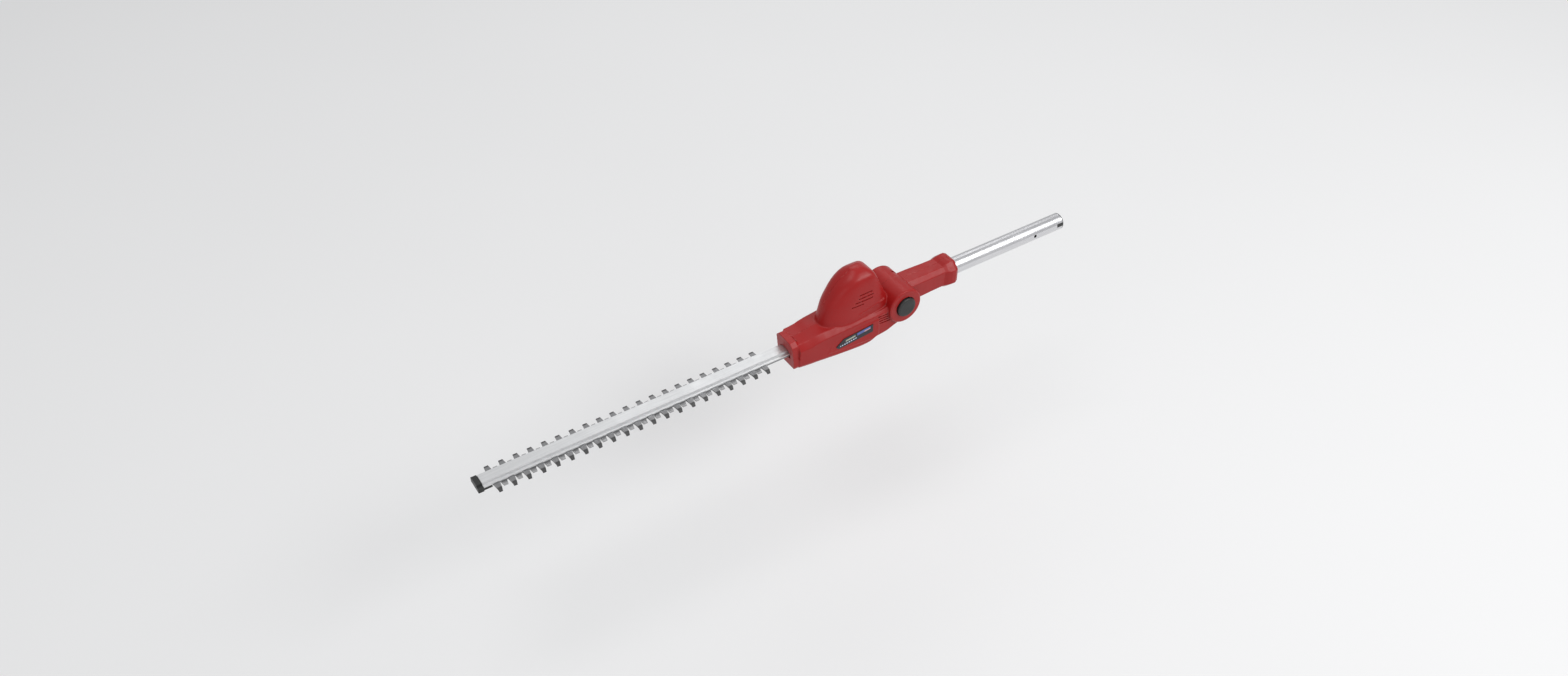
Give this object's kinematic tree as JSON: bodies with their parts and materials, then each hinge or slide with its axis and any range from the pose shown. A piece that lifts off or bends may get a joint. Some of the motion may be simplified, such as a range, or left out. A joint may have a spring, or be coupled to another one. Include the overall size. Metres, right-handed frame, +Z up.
{
  "type": "pole hedge trimmer",
  "caption": "Cutting head of a pole hedge trimmer: a toothed bar on a motor housing that folds down at a knuckle on the end of its pole.",
  "frame": {"origin": "centre of the pole's flat rear end, on the pole's axis", "axes": "+X runs from the tip of the cutter bar along the pole to its rear end, Y lies across the bar, +Z up on the side of the motor dome"},
  "size_m": [0.978, 0.077, 0.1246],
  "materials": {
    "red_plastic": "dark red moulded nylon, fine satin grain",
    "black_plastic": "black moulded plastic, satin",
    "anodised_tube": "drawn aluminium tube, satin silver",
    "bare_aluminium": "extruded aluminium, fine lengthwise lines",
    "cast_aluminium": "machined aluminium plate, matt",
    "blade_steel": "ground blade steel, blunt tips darkened",
    "gear_steel": "hardened steel, lightly oiled",
    "zinc_steel": "zinc-plated steel",
    "motor_steel": "plated sheet steel",
    "spring_steel": "drawn spring wire",
    "rotor_iron": "laminated iron with enamelled copper",
    "contact_brass": "bright brass",
    "sintered_bronze": "sintered bronze, oiled",
    "white_nylon": "natural nylon",
    "label_film": null,
    "cable_sheath": "black cable sheath"
  },
  "bodies": {
    "pole": {"pole_tube": "anodised_tube", "pole_connector": "black_plastic", "contact_blade_1": "contact_brass", "contact_blade_2": "contact_brass", "sleeve_near_half": "red_plastic", "sleeve_far_half": "red_plastic", "sleeve_screw_1": "zinc_steel", "sleeve_screw_2": "zinc_steel", "sleeve_screw_3": "zinc_steel", "sleeve_screw_4": "zinc_steel", "friction_washer_near": "sintered_bronze", "friction_washer_far": "sintered_bronze", "pole_lead": "cable_sheath"},
    "head": {"housing_near_half": "red_plastic", "housing_far_half": "red_plastic", "label_plate": "label_film", "housing_screw_1": "zinc_steel", "housing_screw_2": "zinc_steel", "housing_screw_3": "zinc_steel", "housing_screw_4": "zinc_steel", "housing_screw_5": "zinc_steel", "guide_bar": "bare_aluminium", "bar_tip_cap": "black_plastic", "guard_comb": "blade_steel", "bar_screw_1": "zinc_steel", "bar_screw_2": "zinc_steel", "bar_screw_3": "zinc_steel", "bar_screw_4": "zinc_steel", "bar_screw_5": "zinc_steel", "bar_clamp": "cast_aluminium", "gear_plate": "cast_aluminium", "plate_screw": "zinc_steel", "motor_screw_1": "zinc_steel", "motor_screw_2": "zinc_steel", "gear_axle": "zinc_steel", "axle_clip": "zinc_steel", "motor_end_plate": "motor_steel", "motor_can": "motor_steel", "motor_bush_lower": "sintered_bronze", "motor_bush_upper": "sintered_bronze", "pivot_bolt": "zinc_steel", "pivot_nut": "zinc_steel", "pivot_far_cap": "black_plastic", "lock_spring": "spring_steel", "head_lead": "cable_sheath"},
    "blade": {"cutter_blade": "blade_steel", "blade_yoke": "gear_steel", "yoke_rivet_1": "zinc_steel", "yoke_rivet_2": "zinc_steel"},
    "crank_gear": {"drive_gear": "gear_steel"},
    "motor_armature": {"motor_rotor": "rotor_iron", "motor_pinion": "gear_steel", "motor_fan": "white_nylon"},
    "lock_button": {"lock_button": "black_plastic"}
  },
  "joints": [
    {"name": "head_tilt", "type": "hinge", "parent": "pole", "child": "head", "pos_m": [-0.3267, 0, 0], "axis": [0, 1, 0], "range_deg": [-60, 0]},
    {"name": "lock_button_press", "type": "slide", "parent": "head", "child": "lock_button", "axis": [0, 1, 0], "range_m": [0, 0.004], "stiffness_N_per_m": 400, "springref_m": -0.002, "deforming": ["lock_spring"]},
    {"name": "blade_slide", "type": "slide", "parent": "head", "child": "blade", "axis": [1, 0, 0], "range_m": [-0.008, 0.008]},
    {"name": "gear_spin", "type": "hinge", "parent": "head", "child": "crank_gear", "pos_m": [-0.419, 0, -0.013], "axis": [0, 0, 1], "continuous": true},
    {"name": "motor_spin", "type": "hinge", "parent": "head", "child": "motor_armature", "pos_m": [-0.396, 0, 0.026], "axis": [0, 0, 1], "continuous": true}
  ],
  "couplings": [
    {"joint": "motor_spin", "follows": "gear_spin", "ratio": -3.6}
  ]
}
